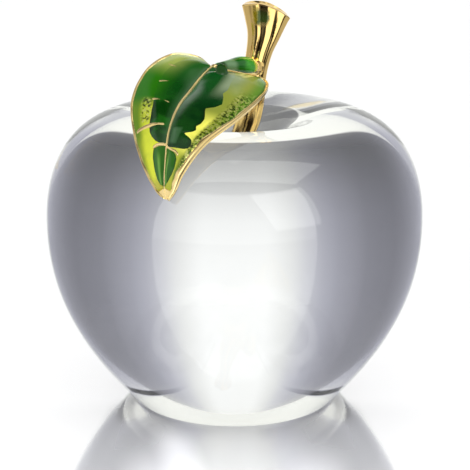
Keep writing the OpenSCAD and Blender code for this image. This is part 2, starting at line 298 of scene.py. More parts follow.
def clear_material(name, scale, detail, first, second, ior, rough):
    """Clear body whose tint drifts softly between two tones."""
    mat, g, b = material(name)
    tint = g.mix(noise(g, object_coords(g), scale, detail), first, second)
    g.fill(b, Base_Color=tint, Transmission_Weight=1.0, IOR=ior, Roughness=rough)
    return mat


def gilt(name, deep, pale, rough):
    """Polished gilt with soft clouds of colour and small worn specks; returned open for more."""
    mat, g, b = material(name)
    where = object_coords(g)
    cloud = noise(g, where, 260, 3)
    speck = noise(g, where, 1500, 2)
    worn = g.add(g.mul(cloud, rough), g.mul(g.step(0.6, 0.75, speck), 0.12))
    g.fill(b, Metallic=1.0, Base_Color=g.mix(cloud, deep, pale), Roughness=g.add(worn, rough * 0.3))
    bump(g, b, g.add(cloud, g.mul(noise(g, where, 700, 2), 0.35)), 0.5, 0.0001)
    return mat, g, b


def place_on(g):
    """Leaf or stem coordinates carried by the mesh."""
    node = g.new("Attribute")
    node.attribute_name = "leaf_place"
    return g.split(node.outputs["Vector"])


def leaf_gold_material():
    """Gilt of the leaf: polished at the rim, worn pale and matt on the midrib."""
    mat, g, b = gilt("satin_gilt", (0.8, 0.56, 0.2), (0.97, 0.78, 0.38), 0.14)
    _, t, _ = place_on(g)
    worn = g.step(0.3, 0.18, g.math("ABSOLUTE", t))
    g.fill(b, Metallic=g.math("SUBTRACT", 0.88, g.mul(worn, 0.45)))
    return mat


# Dark patina in the grooves and on the cut top, partly painted shade and reflection there, and painted dark
# reflection bands low on the stem: angle and half width in degrees, lowest and highest share of the stem,
# strength
PATINA_AND_REFLECTION_BANDS = [(-104, 8, 0.45, 0.79, 0.92), (-106, 3.5, 0.08, 0.79, 0.95), (-59, 3, 0.3, 0.93, 0.85),
          (-134, 12, -0.1, 0.2, 0.9), (-84, 11, -0.1, 0.26, 0.95), (-40, 6, -0.1, 0.2, 0.6),
          (-97, 12, 0.96, 1.1, 0.9), (62, 5, 0.1, 0.9, 0.7), (112, 6, 0.1, 0.9, 0.7), (170, 5, 0.2, 0.9, 0.5)]
BANDS_TWIST, BANDS_RAGGED = 5.0, 16.0
# Green and yellow tint under the cut top, a painted reflection of the green leaf: lowest and highest angle,
# lowest and highest share of the stem
LEAF_REFLECTION_STAIN = (-126, -82, 0.885, 0.985)


def patina_and_reflection_material():
    """Polished gilt with dark patina left in the grooves of the stem, partly painted shade and reflection
    there, painted dark reflection bands low on it, and a green and yellow painted reflection of the leaf
    under the cut top; reads height and angle round it.
    """
    mat, g, b = gilt("fluted_gilt", (0.8, 0.52, 0.16), (0.94, 0.69, 0.27), 0.08)
    s, angle, _ = place_on(g)
    ragged = g.math("SUBTRACT", noise(g, object_coords(g), 900, 3, 0.7), 0.5)
    ragged = g.mul(ragged, BANDS_RAGGED)
    twist = g.mul(g.inverse(s), BANDS_TWIST)
    a = g.add(g.math("SUBTRACT", angle, twist), ragged)
    # Dark patina in the grooves, partly painted shade, and painted dark reflection bands low on the stem
    dark = 0.0
    for middle, half, low, high, depth in PATINA_AND_REFLECTION_BANDS:
        band = g.mul(g.span(a, middle - half, middle + half, 1.5), g.span(s, low, high, 0.04), depth)
        dark = g.math("MAXIMUM", dark, band)
    first, last, low, high = LEAF_REFLECTION_STAIN
    # Painted reflection of the leaf under the cut top: green, yellow at the lower angles, and less metallic
    # there
    leaf_reflection = g.mul(g.span(a, first, last, 5), g.span(g.add(s, g.mul(ragged, 0.006)), low, high, 0.025))
    tint = g.mix(g.step(-119, -110, a), rgb(150, 132, 0), rgb(8, 60, 2))
    tone = g.over(b.inputs["Base Color"].links[0].from_socket, tint, leaf_reflection, 0.95)
    g.fill(b, Metallic=g.inverse(g.mul(leaf_reflection, 0.6)), Base_Color=g.mix(dark, tone, rgb(44, 26, 12)))
    return mat


def enamel_material(name, paint):
    """Glossy enamel; paint gives its colour, and where gilt shines through, from the leaf's coordinates."""
    mat, g, b = material(name)
    u, t, v = place_on(g)
    colour, flake = paint(g, u, t, v, object_coords(g))
    g.fill(b, Base_Color=colour, Roughness=0.22, Specular_IOR_Level=0.1)
    g.fill(b, Coat_Weight=1.0, Coat_Roughness=0.03, Coat_IOR=1.4)
    if flake is not None:
        g.fill(b, Metallic=g.mul(flake, 0.8))
    bump(g, b, noise(g, object_coords(g), 120, 1), 0.12, 0.0001)
    return mat


MOSS, GRASS, OLIVE = rgb(30, 84, 20), rgb(80, 125, 10), rgb(140, 150, 55)
# Whitish green of a painted sheen, laid on the enamel by the stalk where a highlight falls
PAINTED_SHEEN = rgb(140, 156, 122)
LIME, LEMON = rgb(200, 210, 40), rgb(250, 246, 104)


def left_tone(g, u, wide):
    """Ground of the left half, which runs on from the dark enamel into the light one."""
    upper = g.mix(g.step(0.26, 0.66, wide), rgb(30, 84, 28), rgb(160, 174, 84))
    middle = g.mix(g.step(0.2, 0.62, wide), rgb(4, 58, 8), rgb(34, 104, 0))
    return g.mix(g.step(2.3, 3.3, u), upper, middle)


def paint_dark(g, u, t, v, where):
    """Dark enamel; u is the station, t the share of the half leaf and v the share of the field."""
    cloud = noise(g, where, 130, 3, 0.6)
    left = g.step(0.01, -0.01, t)
    wide = g.math("ABSOLUTE", t)
    right_tone = g.mix(g.step(4.3, 2.9, u), rgb(0, 38, 6), rgb(4, 66, 16))
    left_low = g.mix(g.step(0.5, 0.58, cloud), rgb(0, 44, 0), rgb(16, 86, 6))
    left_side = g.mix(g.step(3.7, 4.1, u), left_tone(g, u, wide), left_low)
    tone = g.mix(left, right_tone, left_side)
    tone = g.over(tone, MOSS, g.step(0.42, 0.62, cloud), 0.3)
    tone = g.over(tone, rgb(60, 98, 60), g.step(0.16, 0.02, wide), 0.45)
    # Painted sheen on the right dark field by the stalk
    tone = g.over(tone, PAINTED_SHEEN, g.span(u, 2.1, 3.45, 0.35), g.span(t, 0.4, 0.62, 0.09), 0.95)
    # Painted highlight: a pale green spot on the right dark field near the tip
    tone = g.over(tone, rgb(76, 116, 76), g.span(u, 4.84, 5.32, 0.06), g.span(t, 0.12, 0.34, 0.04), 0.5)
    return g.over(tone, rgb(8, 30, 8), g.step(0.86, 1.0, v), g.step(3.8, 4.3, u), 0.85), None


def paint_light(g, u, t, v, where):
    cloud = noise(g, where, 150, 3, 0.6)
    wide = g.math("ABSOLUTE", t)
    left = g.step(0.01, -0.01, t)
    # Left half: sage above, grass in the middle, lime down to the tip
    tone_l = left_tone(g, u, wide)
    lower = g.mix(g.step(0.8, 0.55, wide), rgb(98, 132, 0), LIME)
    lowest = g.mix(g.step(0.9, 0.6, wide), rgb(140, 152, 20), rgb(214, 222, 40))
    tone_l = g.mix(g.step(3.9, 4.4, u), tone_l, lower)
    tone_l = g.mix(g.step(5.0, 5.6, u), tone_l, lowest)
    tone_l = g.mix(g.step(6.2, 6.8, u), tone_l, rgb(190, 180, 60))
    # Right half: olive by the stalk under a painted sheen, lemon along the dark field, olive at the rim
    lower = g.mix(g.step(0.68, 0.82, wide), LEMON, rgb(124, 142, 28))
    lowest = g.mix(g.step(0.6, 0.74, wide), rgb(178, 182, 50), rgb(96, 114, 20))
    tone_r = g.mix(g.step(0.74, 0.92, wide), OLIVE, g.mix(cloud, rgb(50, 104, 10), rgb(112, 154, 30)))
    tone_r = g.mix(g.step(4.1, 4.6, u), tone_r, lower)
    tone_r = g.mix(g.step(5.3, 5.7, u), tone_r, lowest)
    # Painted sheen on the right light field by the stalk
    tone_r = g.over(tone_r, PAINTED_SHEEN, g.span(u, 2.2, 3.2, 0.4), g.step(0.8, 0.52, wide), 0.8)
    tone = g.mix(left, tone_r, tone_l)
    tone = g.over(tone, GRASS, g.step(0.44, 0.66, cloud), 0.22)
    tone = g.over(tone, rgb(44, 70, 10), g.step(0.88, 0.99, v), 0.7)
    # Hammered ground shows as dark and bright flecks
    fleck = noise(g, where, 1500, 3, 0.7)
    area_r = g.mul(g.span(u, 3.45, 5.9, 0.2), g.step(0.7, 0.78, t), g.step(0.97, 0.9, t))
    area_l = g.mul(g.span(u, 4.02, 4.74, 0.06), g.span(t, -0.68, -0.46, 0.05))
    area = g.add(area_r, area_l)
    tone = g.over(tone, rgb(34, 44, 14), area, g.step(0.5, 0.56, fleck), 0.95)
    glint = g.mul(area, g.step(0.46, 0.4, fleck))
    return g.over(tone, rgb(240, 240, 140), glint, 0.9), glint


def paint_drop(g, u, t, v, where):
    cloud = noise(g, where, 160, 2)
    # Painted highlight: a pale streak on each side of the midrib along the tip drops
    painted_light_streak = g.mul(g.span(g.math("ABSOLUTE", t), 0.16, 0.24, 0.05), g.step(5.5, 6.0, u))
    tone = g.mix(cloud, rgb(4, 68, 0), rgb(46, 108, 2))
    tone = g.over(tone, rgb(20, 62, 10), g.step(0.8, 1.0, v), 0.8)
    return g.over(tone, rgb(120, 172, 70), painted_light_streak, 0.7), None


def paint_stalk(g, u, t, v, where):
    cloud = noise(g, where, 160, 2)
    bright = g.mix(g.step(0.4, 0.62, cloud), rgb(0, 84, 0), rgb(50, 146, 20))
    # Painted sheen: pale grey-green over the stalk's outer half, after the bright green by the joint
    tone = g.mix(g.step(-0.47, -0.38, u), bright, rgb(104, 140, 96))
    tone = g.over(tone, rgb(8, 56, 0), g.step(-0.3, -0.22, u), g.step(0.5, 0.2, v))
    return g.over(tone, rgb(196, 200, 40), g.span(u, -0.93, -0.8, 0.05), g.step(0.2, -0.4, t)), None


GLASS = clear_material("crystal_glass", 18, 1, (0.985, 0.99, 1.0), (0.995, 0.995, 0.992), 1.52, 0.0)
STEM_GOLD = patina_and_reflection_material()
LEAF_GOLD = leaf_gold_material()
SOLDER = gilt("gilt_solder", (0.72, 0.48, 0.18), (0.86, 0.62, 0.26), 0.22)[0]
GLUE = clear_material("clear_adhesive", 300, 2, (0.97, 0.97, 0.93), (1.0, 1.0, 0.99), 1.5, 0.02)
DARK = enamel_material("enamel_dark", paint_dark)
LIGHT = enamel_material("enamel_light", paint_light)
DROP = enamel_material("enamel_drop", paint_drop)
STALK_GREEN = enamel_material("enamel_stalk_green", paint_stalk)

# Glass

GLASS_R, GLASS_H, GIRTH_H, FOOT_R, CREST_R = 40.0, 62.4, 39.8, 21.8, 21.6
FOOT_ANGLE, FOOT_BEVEL = 47.0, 0.5
# Floor of the dimple, the bore below it and the stem's peg
FLOOR_Z, LAND_R = 52.4, 3.6
BORE_R, BORE_LOW = 2.5, 44.1
PEG_R, PEG_LOW = 2.2, 44.4


def glass_profile():
    """Half outline of the apple, from its foot out to the girth, over the crest and down into the dimple."""
    angle = math.radians(FOOT_ANGLE)
    rise = np.array([math.cos(angle), math.sin(angle)])
    foot = np.array([FOOT_R, 0])
    heel = foot + FOOT_BEVEL * rise
    girth, crest, land = (GLASS_R, GIRTH_H), (CREST_R, GLASS_H), (LAND_R, FLOOR_Z)
    low = cubic(heel, foot + 0.525 * GLASS_R * rise, (GLASS_R, GIRTH_H * (1 - 0.325)), girth,
                np.linspace(0, 1, 80)[1:])
    high = cubic(girth, (GLASS_R, GIRTH_H + 0.618 * (GLASS_H - GIRTH_H)),
                 (CREST_R + 0.61 * (GLASS_R - CREST_R), GLASS_H), crest, np.linspace(0, 1, 60)[1:])
    dimple = cubic(crest, (CREST_R / 2, GLASS_H), (LAND_R + 2.4, FLOOR_Z), land, np.linspace(0, 1, 60)[1:])
    return np.vstack([[(FOOT_R - FOOT_BEVEL, 0.0)], [heel], low, high, dimple])


def glass_mesh(sides=240):
    profile = glass_profile()
    middles = [(0, 0, profile[0][1]), (0, 0, profile[-1][1])]
    return lathe_rings(profile, sides) + middles, fan_faces(len(profile), sides)


piece("glass_body", "glass_apple", glass_mesh(), GLASS, sharp=25)

# Leaf

JOINT = np.array([4.512, 0.0, 72.2])
LEAF_TURN = math.radians(-114.8)
LEAF_DIR = np.array([math.cos(LEAF_TURN), math.sin(LEAF_TURN), 0.0])
LEAF_SIDE = np.array([-math.sin(LEAF_TURN), math.cos(LEAF_TURN), 0.0])
UP = np.array([0.0, 0.0, 1.0])
BOSS_LEN, SOLDER_T = 2.8, 0.25
LEAF_ROOT = JOINT + (BOSS_LEN + SOLDER_T) * LEAF_DIR
LEAF_SIZE = np.array([1.0, 1.0, 1.058])
LEAF_T, STALK_R = 1.3, 1.95
LEAF_LEFT = [[10.4, -4.2, 1.6], [8.8, -7.9, 3.0], [11.4, -12.4, 3.6], [16.2, -15.5, 1.4], [22.6, -15.8, -3.4],
             [28.6, -12.3, -8.9], [34.6, -6.8, -14.0], [38.0, -2.3, -17.1], [38.7, -0.5, -17.7]]
LEAF_MID = [[10.8, -3.6, 1.6], [12.2, -4.0, 1.1], [14.4, -4.3, 0.2], [18.4, -4.7, -1.7], [24.8, -4.5, -4.0],
            [30.8, -3.4, -7.4], [35.4, -1.8, -12.0], [38.0, -0.7, -16.0], [38.8, 0.0, -17.8]]
LEAF_RIGHT = [[10.4, -3.0, 1.4], [8.0, 0.4, 0.2], [3.6, 4.7, -1.3], [7.6, 7.2, -2.6], [20.0, 7.1, -5.3],
              [31.0, 4.7, -8.4], [36.6, 2.4, -13.1], [37.9, 1.3, -16.7], [38.7, 0.5, -17.8]]
STALK = [[0.0, 0.0, 0.0, 1.0], [1.6, -0.2, 0.4, 1.0], [3.9, -0.6, 0.9, 0.93],
         [6.8, -1.5, 1.3, 0.6], [9.2, -2.6, 1.5, 0.36], [10.4, -3.4, 1.5, 0.33]]
RIM_W, RIM_H, RIM_CREST, MID_W, MID_H, MID_FOOT = 0.62, 0.22, 0.45, 0.18, 0.34, 1.15
# Floor of the pockets, and the stations where they start on the left and right half and where they end
POCKET, POCKET_LEFT, POCKET_RIGHT, POCKET_END = -0.34, 0.22, 0.16, 6.97
# Length of one station in millimetres, on the blade and near the tip
STATION_MM, TIP_STATION_MM = 4.4, 5.5
# Outer edge of the dark enamel: station, share of the half leaf
DARK_LEFT = [(0.24, 0.25), (0.4, 0.45), (1.3, 0.52), (1.8, 0.57), (2.4, 0.58), (3.0, 0.58), (3.5, 0.54),
             (3.9, 0.46), (4.2, 0.43), (4.6, 0.43), (4.85, 0.45), (5.05, 0.43), (5.18, 0.38), (5.3, 0.29),
             (5.36, 0.2), (5.4, 0.05)]
DARK_RIGHT = [(0.18, 0.25), (0.4, 0.6), (1.2, 0.62), (1.7, 0.5), (2.2, 0.5), (3.0, 0.5), (3.35, 0.54),
              (3.5, 0.52), (3.62, 0.57), (3.86, 0.64), (4.0, 0.58), (4.1, 0.47), (4.2, 0.5), (4.44, 0.6),
              (4.6, 0.61), (4.7, 0.57), (4.8, 0.63), (4.88, 0.59), (4.95, 0.48), (4.99, 0.43), (5.03, 0.54),
              (5.1, 0.7), (5.22, 0.76), (5.33, 0.75), (5.4, 0.62), (5.44, 0.36), (5.47, 0.05)]
# Outer edge of the drops at the tip
DROP_LEFT = [(5.44, 0.05), (5.47, 0.25), (5.54, 0.35), (5.76, 0.41), (6.2, 0.44), (6.5, 0.42), (6.75, 0.3),
             (6.9, 0.05)]
DROP_RIGHT = [(5.5, 0.05), (5.53, 0.24), (5.6, 0.45), (5.72, 0.55), (6.0, 0.6), (6.25, 0.56), (6.56, 0.38),
              (6.75, 0.2), (6.9, 0.05)]
# Veins of the left half: (station, share) points, half width, height
VEINS = [([(2.5, 0.26), (2.52, 0.42), (2.62, 0.76)], 0.11, 0.1),
         ([(3.16, 0.14), (3.24, 0.35), (3.42, 0.62)], 0.11, 0.1),
         ([(3.97, 0.12), (3.98, 0.32), (4.04, 0.56)], 0.13, 0.12),
         ([(4.76, 0.08), (4.82, 0.34), (4.96, 0.78), (5.02, 0.92)], 0.19, 0.16)]
# Wires between the dark enamel and the tip drops: (station, share) points from left to right
WIRES = [[(5.5, -0.36), (5.42, -0.24), (5.4, -0.1), (5.4, -0.03)],
         [(5.44, 0.03), (5.49, 0.1), (5.52, 0.25), (5.53, 0.42), (5.6, 0.56)]]
WIRE_W, WIRE_H = 0.34, 0.24


def to_world(p):
    """Leaf frame (along, across, up) to millimetres in the shared frame."""
    return p[..., :1] * LEAF_DIR + p[..., 1:2] * LEAF_SIDE + p[..., 2:3] * UP


def half_frame(edge, u):
    """Middle point, reach to the edge and upward direction of one half of the leaf."""
    a, b = np.maximum(0, u - 0.05), np.minimum(8, u + 0.05)
    mid = spline(LEAF_MID, u)
    reach = (spline(edge, u) - mid) * LEAF_SIZE
    run = (spline(edge, b) + spline(LEAF_MID, b) - spline(edge, a) - spline(LEAF_MID, a)) * LEAF_SIZE
    n = unit(np.cross(run, reach))
    return mid * LEAF_SIZE, reach, np.where(n[:, 2:3] < 0, -n, n)


def leaf_points(u, t, h):
    """Points at station u, share t (-1 left rim, 1 right rim) and height h above the leaf's skin."""
    u, t, h = (np.asarray(v, float).ravel() for v in np.broadcast_arrays(u, t, h))
    mid, left, up_left = half_frame(LEAF_LEFT, u)
    _, right, up_right = half_frame(LEAF_RIGHT, u)
    s = np.abs(t)[:, None]
    on_left = (t < 0)[:, None]
    side = np.where(on_left, left, right)
    up_mid = unit(up_right + up_left)
    mix = smoothstep(0, 0.55, s)
    up = unit((1 - mix) * up_mid + mix * np.where(on_left, up_left, up_right))
    width = np.linalg.norm(side, axis=1, keepdims=True)
    swell = np.where(on_left, 0.16, 0.14) * width * 4 * s * (1 - s) * (1 - s / 2)
    return LEAF_ROOT + to_world(mid + side * s + up * (swell + h[:, None]))


def half_width(u, left):
    _, reach, _ = half_frame(LEAF_LEFT if left else LEAF_RIGHT, u)
    return np.linalg.norm(reach, axis=1)


def rim_share(u, left):
    wave = 1 + 0.12 * np.sin(5.1 * u + 1.3) + 0.08 * np.sin(11.7 * u)
    young = 0.35 + 0.65 * smoothstep(0.6, 2.6, u) + (0 if left else 0.5) * smoothstep(3.6, 5.0, u)
    return 1 - np.minimum(0.5, RIM_W * wave * young / half_width(u, left))


def mid_share(u, left):
    return np.minimum(0.3, MID_W * (1 - u / 16) / half_width(u, left))


def edge_share(table, u, left):
    """Outer edge of an enamel field, with its corners rounded a little."""
    x, y = zip(*table)
    smooth = sum(np.interp(u + d, x, y, left=0, right=0) for d in (-0.015, 0, 0.015)) / 3
    return np.clip(smooth, mid_share(u, left) * 0.6, rim_share(u, left))


def arch(x):
    """Quarter circle: 1 at 0 and 0 from 1 on."""
    return np.sqrt(np.clip(1 - x ** 2, 0, 1))


def gold_height(u, t):
    """Height of the bare casting above the leaf's skin: rim, midrib, veins and pockets."""
    left = t < 0
    s = np.abs(t)
    rim, mid = (np.where(left, share(u, True), share(u, False)) for share in (rim_share, mid_share))
    start = np.where(left, POCKET_LEFT, POCKET_RIGHT)
    inside = smoothstep(start - 0.05, start + 0.05, u) * smoothstep(POCKET_END + 0.05, POCKET_END - 0.05, u)
    # Rim: x is 0 at the leaf's edge and 1 where the rim ends
    x = np.clip((1 - s) / (1 - rim), 0, 3)
    outer = -0.3 + (RIM_H + 0.3) * arch(1 - x / RIM_CREST)
    rim_h = np.where(x < RIM_CREST, outer, RIM_H * smoothstep(1.08, 0.5, x))
    h = np.where(x < 1.1, rim_h, 0) + POCKET * inside * smoothstep(1.0, 1.25, x)
    # Midrib: m is 1 at its side
    crest = MID_H * (1 - 0.75 * u / 8) * (0.9 + 0.1 * np.sin(9 * u))
    m = np.clip(s / mid, 0, 2)
    h = np.where(m < MID_FOOT, np.maximum(crest * arch(m / MID_FOOT) * smoothstep(0.0, 0.35, u), h), h)
    for path, half, high in VEINS:
        pu, pt = (np.array(v) for v in zip(*path))
        across = np.abs(u - np.interp(s, pt, pu)) * STATION_MM
        ends = smoothstep(pt[0] - 0.02, pt[0] + 0.05, s) * smoothstep(pt[-1] + 0.02, pt[-1] - 0.1, s)
        vein = POCKET + (high - POCKET) * arch(across / (2.0 * half)) * ends
        h = np.where(left & (across < 2.0 * half) & (ends > 0.02), np.maximum(h, vein), h)
    for path in WIRES:
        pu, pt = (np.array(v) for v in zip(*path))
        across = np.abs(u - np.interp(t, pt, pu)) * TIP_STATION_MM
        ends = smoothstep(pt[0] - 0.03, pt[0] + 0.02, t) * smoothstep(pt[-1] + 0.03, pt[-1] - 0.02, t)
        wire = POCKET + (WIRE_H - POCKET) * arch(across / WIRE_W) * ends
        h = np.where((across < WIRE_W) & (ends > 0.02), np.maximum(h, wire), h)
    return h


# The ring of the casting has ROUND places; those from TOP_FROM to TOP_TO lie on the stalk's upper arc
ROUND, TOP_FROM, TOP_TO = 34, 1, 18
TOP_MIDDLE, TOP_HALF = 67, 78


def stalk_turn(j):
    """Angle round the stalk of place j of a ring of the casting."""
    over = TOP_MIDDLE + TOP_HALF * (2 * (j - TOP_FROM) / (TOP_TO - TOP_FROM) - 1)
    under = (j - TOP_TO) % ROUND / (ROUND - TOP_TO + TOP_FROM)
    under = TOP_MIDDLE + TOP_HALF + (360 - 2 * TOP_HALF) * under
    return np.radians(np.where((j >= TOP_FROM) & (j <= TOP_TO), over, under))


def stalk_ring(q, radius, turns):
    """Points round the stalk, for one row of its table."""
    return LEAF_ROOT + to_world(np.stack([np.full(len(turns), q[0]), q[1] + radius * np.cos(turns),
                                          q[2] * LEAF_SIZE[2] + radius * np.sin(turns)], 1))


def leaf_casting():
    """Gilt leaf and stalk as one closed skin, ring after ring from the joint to the tip."""
    rim_cols, field_cols, mid_cols, back_cols = 12, 44, 6, 26
    part = np.concatenate([np.linspace(0, 1, rim_cols, endpoint=False),
                           1 + np.linspace(0, 1, field_cols, endpoint=False),
                           2 + np.linspace(0, 1, mid_cols + 1)])
    base = np.interp(part, [0, 1, 2, 3], [0, 3, 11, 12])
    under_s = np.array([0.997, 1.0, 0.998, 0.99, 0.975, 0.95, 0.9])
    under_h = np.array([-0.42, -0.58, -0.74, -0.9, -1.02, -1.12, -1.22])
    back_s = np.concatenate([-under_s, np.linspace(-0.84, 0.84, back_cols), under_s[::-1]])
    back_h = np.concatenate([under_h, np.full(back_cols, -LEAF_T), under_h[::-1]])
    back_h = back_h - 0.35 * np.exp(-(back_s / 0.1) ** 2)
    turn = np.concatenate([base, 24 - base[-2::-1], np.linspace(24.4, ROUND - 0.4, len(back_s))])
    cols = len(turn)
    rows, place = [], []
    for q in spline(STALK, np.linspace(0, 5, 56)):
        rows.append(stalk_ring(q, STALK_R * q[3], stalk_turn(turn)))
        place.append(np.tile([-0.5, 1.0, 0.0], (cols, 1)))
    for u in np.concatenate([np.linspace(0.02, 7.0, 420), np.linspace(7.02, 8.0, 50)]):
        uu = np.array([u])
        sides = []
        for left in (False, True):
            rim, mid = rim_share(uu, left)[0], mid_share(uu, left)[0]
            sides.append(np.interp(part, [0, 1, 2, 3], [1, rim, mid, 0]))
        t = np.concatenate([sides[0], -sides[1][-2::-1], back_s])
        front = t[:cols - len(back_s)]
        h = np.concatenate([gold_height(np.full(len(front), u), front), back_h])
        rows.append(leaf_points(np.full(cols, u), t, h))
        place.append(np.stack([np.full(cols, u), t, h], 1))
    place = np.vstack(place + [[[-0.5, 1.0, 0.0]], [[8.0, 0.0, 0.0]]])
    verts = np.vstack(rows + [rows[0].mean(0), rows[-1].mean(0)])
    return verts, fan_faces(len(rows), cols), place


def shell(u, inner, outer, sign, height, cols=26):
    """Closed sheet of enamel between two lines along the leaf; returns its leaf coordinates too."""
    uu, vv = np.meshgrid(u, np.linspace(0, 1, cols), indexing="ij")
    s = inner[:, None] + (outer - inner)[:, None] * vv
    top = leaf_points(uu, sign * s, height(uu, vv, s))
    low = leaf_points(uu, sign * s, np.full(uu.shape, -0.5))
    place = np.stack([uu.ravel(), sign * s.ravel(), vv.ravel()], 1)
    return np.vstack([top, low]), sheet_faces(*uu.shape), np.vstack([place, place])


def low_edge(s, mid, rim):
    """Dips the enamel just under the midrib and the rim."""
    by_mid = smoothstep(mid * 1.25, mid * 0.8, s)
    by_rim = smoothstep(1 - (1 - rim) * 1.2, 1 - (1 - rim) * 0.75, s)
    return -0.26 * by_mid - 0.2 * by_rim


def enamel_height(left, dome, ends):
    """Height of a domed field of enamel, low at both ends, as a function of its coordinates."""
    def height(u, v, s):
        mid = mid_share(u.ravel(), left).reshape(u.shape)
        rim = rim_share(u.ravel(), left).reshape(u.shape)
        end = smoothstep(ends[0], ends[0] + 0.07, u) * smoothstep(ends[1], ends[1] - 0.07, u)
        swirl = 0.022 * np.sin(4.3 * u + 6 * s) + 0.01 * np.sin(7.1 * u - 9 * s + 2)
        return -0.22 + (0.22 + 0.02 + swirl + dome * 4 * v * (1 - v)) * end + low_edge(s, mid, rim)
    return height


def leaf_fields(left):
    """The dark field, the tip drop and the light field of one half of the leaf."""
    side, sign = ("left", -1) if left else ("right", 1)
    dark, drop = (DARK_LEFT, DROP_LEFT) if left else (DARK_RIGHT, DROP_RIGHT)
    start, stop = dark[0][0], dark[-1][0]
    u = np.linspace(start, stop, 300)
    height = enamel_height(left, 0.1, (start, stop + 0.04))
    piece("dark_field_" + side, "enamel_dark_" + side,
          shell(u, mid_share(u, left) * 0.6, edge_share(dark, u, left), sign, height), DARK)
    first, last = drop[0][0], drop[-1][0]
    u = np.linspace(first, last, 90)
    height = enamel_height(left, 0.2, (first - 0.04, last + 0.04))
    piece("tip_drop_" + side, "enamel_tip_" + side,
          shell(u, mid_share(u, left) * 0.6, edge_share(drop, u, left), sign, height), DROP)
    u = np.linspace(start - 0.02, 7.0, 400)
    inner = np.maximum(edge_share(dark, u, left), edge_share(drop, u, left))
    height = enamel_height(left, 0.05, (start, 7.0))
    piece("light_field_" + side, "enamel_light_" + side,
          shell(u, inner, 1 - (1 - rim_share(u, left)) * 0.8, sign, height), LIGHT)


def enamel_pool():
    """Thick drop of dark enamel where the stalk runs into the leaf."""
    centre = leaf_points(1.9, 0.29, 0.22)[0]
    out = leaf_points(1.9, 0.29, 1.0)[0] - leaf_points(1.9, 0.29, 0.0)[0]
    out = unit(out + np.array([0.0, -0.9, 0.3]))
    wide = unit(np.cross(out, UP))
    high = np.cross(wide, out)
    half_wide, half_high, half_thick = 1.2, 1.75, 0.5
    lat, lon = np.linspace(0.02, math.pi - 0.02, 24), np.linspace(0, 2 * math.pi, 48, endpoint=False)
    verts = [centre + math.sin(p) * (half_wide * math.cos(q) * wide + half_high * math.sin(q) * high)
             + half_thick * math.cos(p) * out for p in lat for q in lon]
    return np.array(verts), capped_faces(len(lat), len(lon))


def stalk_enamel():
    """Enamel over the top of the stalk, with rounded ends, and its thick drop."""
    s = np.linspace(0.02, 0.985, 90)
    share = (s - 0.02) / 0.965
    reach = 100 * np.sin(np.pi * np.clip(share, 0.0, 1.0)) ** 0.3
    rounding = np.minimum(1, 8 * np.minimum(share, 1 - share))
    q = spline(STALK, s * 5)
    v = np.linspace(-1, 1, 40)
    top = 0.26 * np.sqrt(np.clip(1 - np.abs(v) ** 4, 0, 1))
    verts, place = [], []
    for lift in (lambda k: top * rounding[k] - 0.05, lambda k: -0.35):
        for k in range(len(s)):
            verts.append(stalk_ring(q[k], STALK_R * q[k][3] + lift(k), np.radians(48 + reach[k] * v)))
            place.append(np.stack([np.full(len(v), s[k] - 1), v, v], 1))
    faces = sheet_faces(len(s), len(v))
    pool, pool_faces = enamel_pool()
    faces += shifted(pool_faces, 2 * len(s) * len(v))
    verts.append(pool)
    place.append(np.tile([-0.1, -0.5, 0.0], (len(pool), 1)))
    return np.vstack(verts), faces, np.vstack(place)


piece("leaf_casting", "leaf_plate", leaf_casting(), LEAF_GOLD, sharp=60)
leaf_fields(left=True)
leaf_fields(left=False)
piece("stalk_glaze", "enamel_stalk", stalk_enamel(), STALK_GREEN)

# Stem

# Stations of the stem: share of its height, share of its lean, width across and width in depth
STEM_PATH = [[0.0, 0.0, 0.83, 0.83], [0.1, 0.21, 0.96, 0.9], [0.22, 0.43, 1.04, 0.94],
             [0.37, 0.56, 1.04, 0.92], [0.52, 0.62, 1.02, 0.92], [0.67, 0.77, 1.08, 0.94],
             [0.8, 0.93, 1.36, 1.02], [0.9, 0.98, 1.68, 1.1], [1.0, 1.0, 2.0, 1.14]]
STEM_R, STEM_BASE, STEM_LEN, STEM_LEAN, FLARE_W = 2.6, 53.6, 31.3, 6.5, 10.3
CUT_ANGLE, CUT_CROWN, FLUTE_DEPTH = 15.0, 1.6, 0.5
# Flutes: direction and half width in degrees, share of the full depth
FLUTES = [(-104, 11, 0.6), (-58, 11, 0.4), (8, 18, 0.2), (62, 14, 0.6), (112, 16, 0.5), (170, 18, 0.3),
          (-145, 14, 0.2)]
# Fine tool marks between the flutes: direction, width, depth in mm, slope along the stem
MARKS = [(-82, 9, 0.05, 14), (-35, 7, 0.05, 12), (-126, 6, 0.06, -8), (30, 6, 0.06, -8), (88, 7, 0.08, 8),
         (140, 6, 0.08, -6), (-168, 7, 0.06, 8)]


def bell(x, w):
    return np.exp(-(x / w) ** 2)


def wrap(angle):
    """The same direction as an angle from -180 to 180 degrees."""
    return (angle + 180) % 360 - 180


